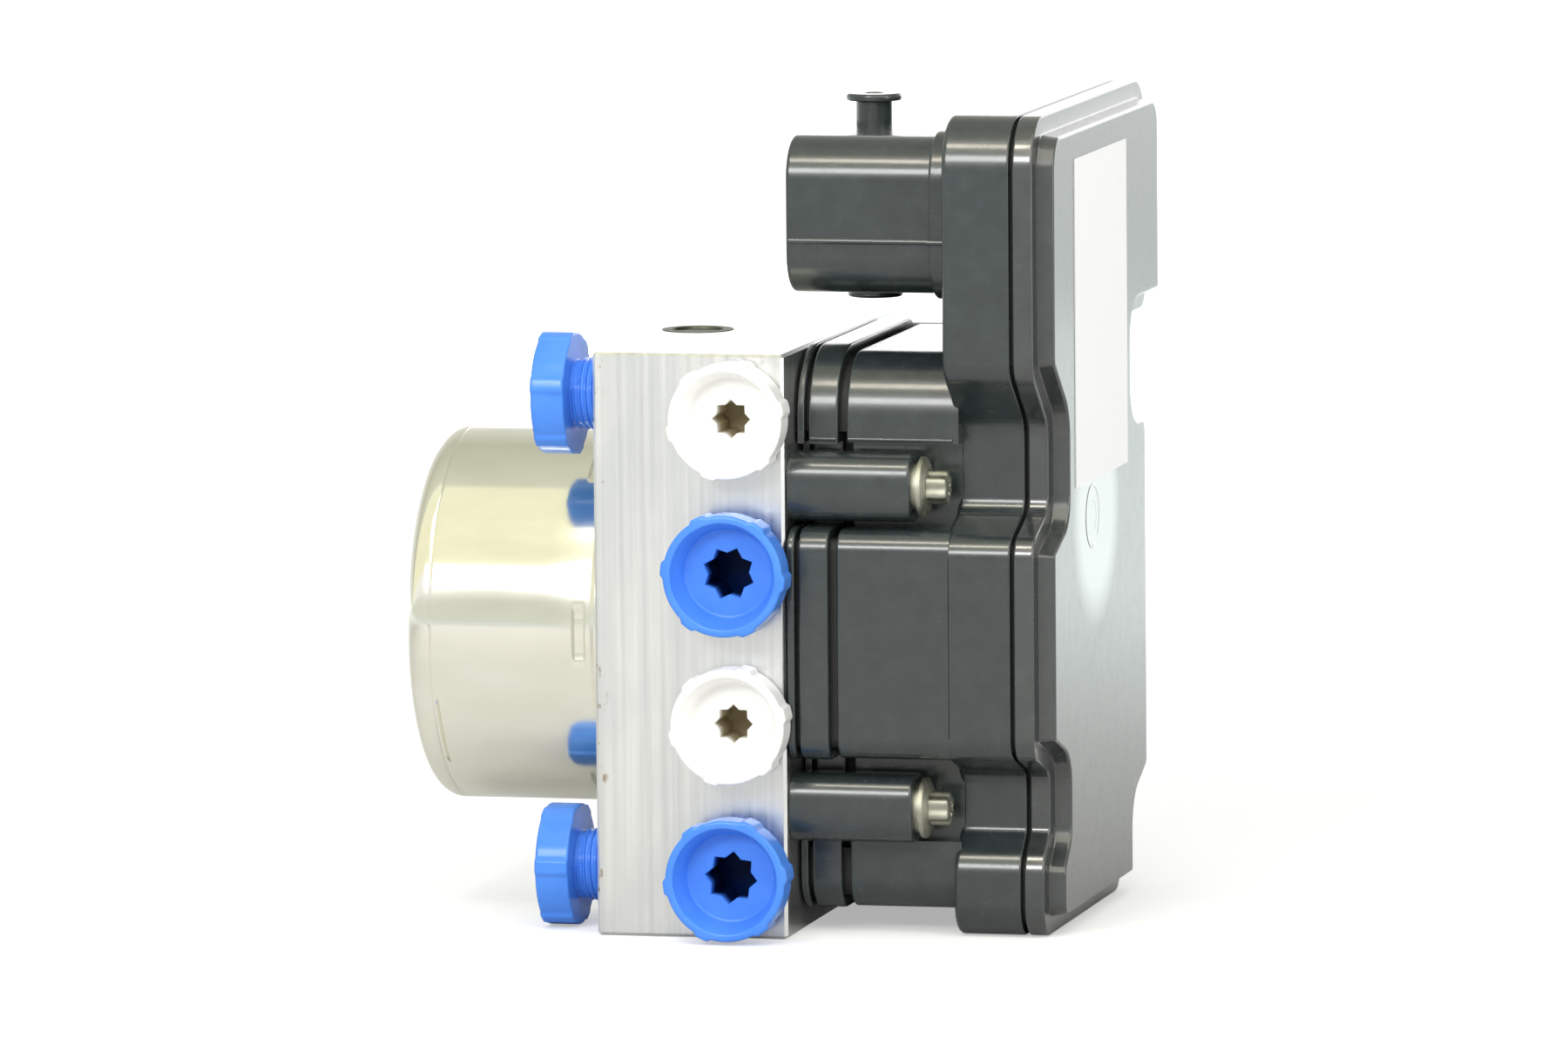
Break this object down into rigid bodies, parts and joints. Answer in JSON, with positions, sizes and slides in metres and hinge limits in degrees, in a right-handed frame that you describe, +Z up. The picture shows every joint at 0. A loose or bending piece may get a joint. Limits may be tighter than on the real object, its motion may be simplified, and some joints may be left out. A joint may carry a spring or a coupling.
{
  "type": "abs brake module",
  "caption": "Aluminium hydraulic block with a round pump motor on one side, a black plastic control unit on the other and dished transit plugs in its line ports.",
  "frame": {"origin": "centre of the hydraulic block's underside", "axes": "+X from the motor to the control unit, +Y away from the wheel ports, +Z up"},
  "size_m": [0.1111, 0.1006, 0.1358],
  "materials": {
    "block": "milled",
    "can": "zinc-plated",
    "housing": "satin black",
    "cover": "fine texture",
    "contacts": "tinned",
    "screws": "zinc-plated",
    "label": "blank",
    "plug_blue": "moulded",
    "plug_white": "moulded"
  },
  "bodies": {
    "module": {"hydraulic_block": "block", "motor_can": "can", "ecu_housing": "housing", "ecu_cover": "cover", "connector_pins": "contacts", "housing_screws": "screws", "blank_label": "label"},
    "wheel_plug_1": {"wheel_plug_1": "plug_blue"},
    "wheel_plug_2": {"wheel_plug_2": "plug_white"},
    "wheel_plug_3": {"wheel_plug_3": "plug_blue"},
    "wheel_plug_4": {"wheel_plug_4": "plug_white"},
    "inlet_plug_lower": {"inlet_plug_lower": "plug_blue"},
    "inlet_plug_upper": {"inlet_plug_upper": "plug_blue"}
  },
  "joints": [
    {"name": "wheel_plug_1_draw", "type": "slide", "parent": "module", "child": "wheel_plug_1", "axis": [0, -1, 0], "range_m": [0, 0.01]},
    {"name": "wheel_plug_2_draw", "type": "slide", "parent": "module", "child": "wheel_plug_2", "axis": [0, -1, 0], "range_m": [0, 0.01]},
    {"name": "wheel_plug_3_draw", "type": "slide", "parent": "module", "child": "wheel_plug_3", "axis": [0, -1, 0], "range_m": [0, 0.01]},
    {"name": "wheel_plug_4_draw", "type": "slide", "parent": "module", "child": "wheel_plug_4", "axis": [0, -1, 0], "range_m": [0, 0.01]},
    {"name": "inlet_plug_lower_draw", "type": "slide", "parent": "module", "child": "inlet_plug_lower", "axis": [-1, 0, 0], "range_m": [0, 0.01]},
    {"name": "inlet_plug_upper_draw", "type": "slide", "parent": "module", "child": "inlet_plug_upper", "axis": [-1, 0, 0], "range_m": [0, 0.01]}
  ]
}
